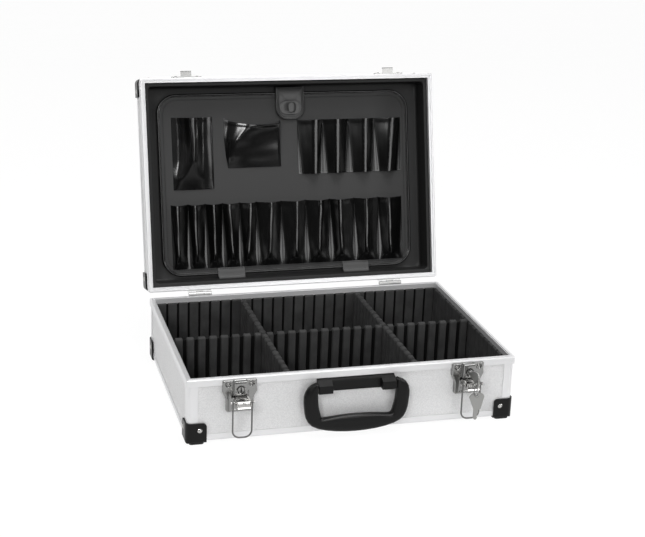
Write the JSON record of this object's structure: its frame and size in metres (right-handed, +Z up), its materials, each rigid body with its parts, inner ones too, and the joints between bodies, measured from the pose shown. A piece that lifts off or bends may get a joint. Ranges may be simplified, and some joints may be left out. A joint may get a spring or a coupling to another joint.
{
  "type": "tool case",
  "caption": "Hard-sided tool case with framed metal panels, corner guards, draw latches, a swing handle, a divided ribbed base and a hinged lid with a tool panel.",
  "frame": {"origin": "centre of the floor frame's underside; the feet and corner guards reach 4 mm below it", "axes": "+Z up, -Y out of the front face with the handle and latches, +X along the front to the right"},
  "size_m": [0.4596, 0.5007, 0.4132],
  "materials": {
    "panel_sheet": "embossed satin sheet",
    "frame_metal": "satin anodised",
    "black_plastic": "moulded, semi-matte",
    "lining_foam": "matte ribbed foam",
    "nickel": "nickel plated",
    "steel": "plated steel",
    "board_cover": "matte grained",
    "pocket_leather": "glossy grained",
    "tab_leather": "matte grained"
  },
  "bodies": {
    "base": {"base_front_panel": "panel_sheet", "base_right_panel": "panel_sheet", "base_back_panel": "panel_sheet", "base_left_panel": "panel_sheet", "base_floor_panel": "panel_sheet", "base_rim_frame": "frame_metal", "base_floor_frame": "frame_metal", "base_corner_posts": "frame_metal", "base_corner_guards": "black_plastic", "base_rivets": "nickel", "base_wall_lining": "lining_foam", "base_floor_lining": "lining_foam", "long_divider_left": "lining_foam", "long_divider_right": "lining_foam", "cross_divider_left": "lining_foam", "cross_divider_middle": "lining_foam", "cross_divider_right": "lining_foam", "handle_bracket": "black_plastic", "handle_pins": "steel", "latch_plate_left": "nickel", "latch_plate_right": "nickel", "lock_housing_left": "nickel", "lock_housing_right": "nickel", "lever_pins": "steel", "hinge_base_leaves": "steel", "hinge_pins": "steel"},
    "lid": {"hinge_lid_leaves": "steel", "lid_side_panels": "panel_sheet", "lid_top_panel": "panel_sheet", "lid_rim_frame": "frame_metal", "lid_edge_frame": "frame_metal", "lid_corner_posts": "frame_metal", "lid_corner_guards": "black_plastic", "lid_rivets": "nickel", "keepers": "nickel", "lid_lining": "lining_foam", "tool_panel": "board_cover", "tall_pocket": "pocket_leather", "wide_pocket": "pocket_leather", "tool_loops": "pocket_leather", "pocket_row_left": "pocket_leather", "pocket_row_right": "pocket_leather", "panel_piping": "pocket_leather", "panel_tabs": "tab_leather", "button_plate": "nickel"},
    "handle": {"handle_grip": "black_plastic"},
    "strap": {"panel_strap": "pocket_leather", "strap_eyelet": "nickel"},
    "button": {"turn_button": "nickel"},
    "keyed_lock": {"lock_cylinder_right": "nickel", "key_in_lock": "steel", "key_ring": "steel"},
    "left_lock": {"lock_cylinder_left": "nickel"},
    "hung_key": {"spare_key": "steel"},
    "lever_left": {"draw_lever_left": "nickel"},
    "pin_left": {"bail_pin_left": "nickel"},
    "wire_left": {"bail_left": "nickel"},
    "lever_right": {"draw_lever_right": "nickel"},
    "pin_right": {"bail_pin_right": "nickel"},
    "wire_right": {"bail_right": "nickel"}
  },
  "joints": [
    {"name": "lid_hinge", "type": "hinge", "parent": "base", "child": "lid", "pos_m": [0, 0.1648, 0.087], "axis": [1, 0, 0], "range_deg": [0, 104]},
    {"name": "handle_swing", "type": "hinge", "parent": "base", "child": "handle", "pos_m": [0, -0.168, 0.064], "axis": [-1, 0, 0], "range_deg": [0, 90]},
    {"name": "lever_swing_left", "type": "hinge", "parent": "base", "child": "lever_left", "pos_m": [-0.1575, -0.1655, 0.061], "axis": [1, 0, 0], "range_deg": [0, 90]},
    {"name": "bail_pin_turn_left", "type": "hinge", "parent": "lever_left", "child": "pin_left", "pos_m": [-0.1575, -0.179, 0.0606], "axis": [1, 0, 0], "range_deg": [-90, 0]},
    {"name": "bail_swing_left", "type": "hinge", "parent": "pin_left", "child": "wire_left", "pos_m": [-0.1575, -0.179, 0.0606], "axis": [-1, 0, 0], "range_deg": [0, 180]},
    {"name": "lever_swing_right", "type": "hinge", "parent": "base", "child": "lever_right", "pos_m": [0.1575, -0.1655, 0.061], "axis": [1, 0, 0], "range_deg": [0, 90]},
    {"name": "bail_pin_turn_right", "type": "hinge", "parent": "lever_right", "child": "pin_right", "pos_m": [0.1575, -0.179, 0.0606], "axis": [1, 0, 0], "range_deg": [-90, 0]},
    {"name": "bail_swing_right", "type": "hinge", "parent": "pin_right", "child": "wire_right", "pos_m": [0.1575, -0.179, 0.0606], "axis": [-1, 0, 0], "range_deg": [0, 180]},
    {"name": "left_lock_turn", "type": "hinge", "parent": "base", "child": "left_lock", "pos_m": [-0.1575, -0.165, 0.074], "axis": [0, 1, 0], "range_deg": [0, 90]},
    {"name": "right_lock_turn", "type": "hinge", "parent": "base", "child": "keyed_lock", "pos_m": [0.1575, -0.165, 0.074], "axis": [0, 1, 0], "range_deg": [0, 90]},
    {"name": "spare_key_swing", "type": "hinge", "parent": "keyed_lock", "child": "hung_key", "pos_m": [0.1575, -0.1994, 0.053], "axis": [0, 1, 0], "range_deg": [-90, 0]},
    {"name": "strap_swing", "type": "hinge", "parent": "lid", "child": "strap", "pos_m": [0.008, 0.27585, 0.37865], "axis": [1, 0, 0], "range_deg": [-80, 0]},
    {"name": "button_turn", "type": "hinge", "parent": "lid", "child": "button", "pos_m": [0.008, 0.26184, 0.34808], "axis": [0, -0.9703, 0.2419], "range_deg": [0, 90]}
  ],
  "couplings": [
    {"joint": "bail_pin_turn_left", "follows": "lever_swing_left", "ratio": -1},
    {"joint": "bail_pin_turn_right", "follows": "lever_swing_right", "ratio": -1},
    {"joint": "spare_key_swing", "follows": "right_lock_turn", "ratio": -1}
  ]
}
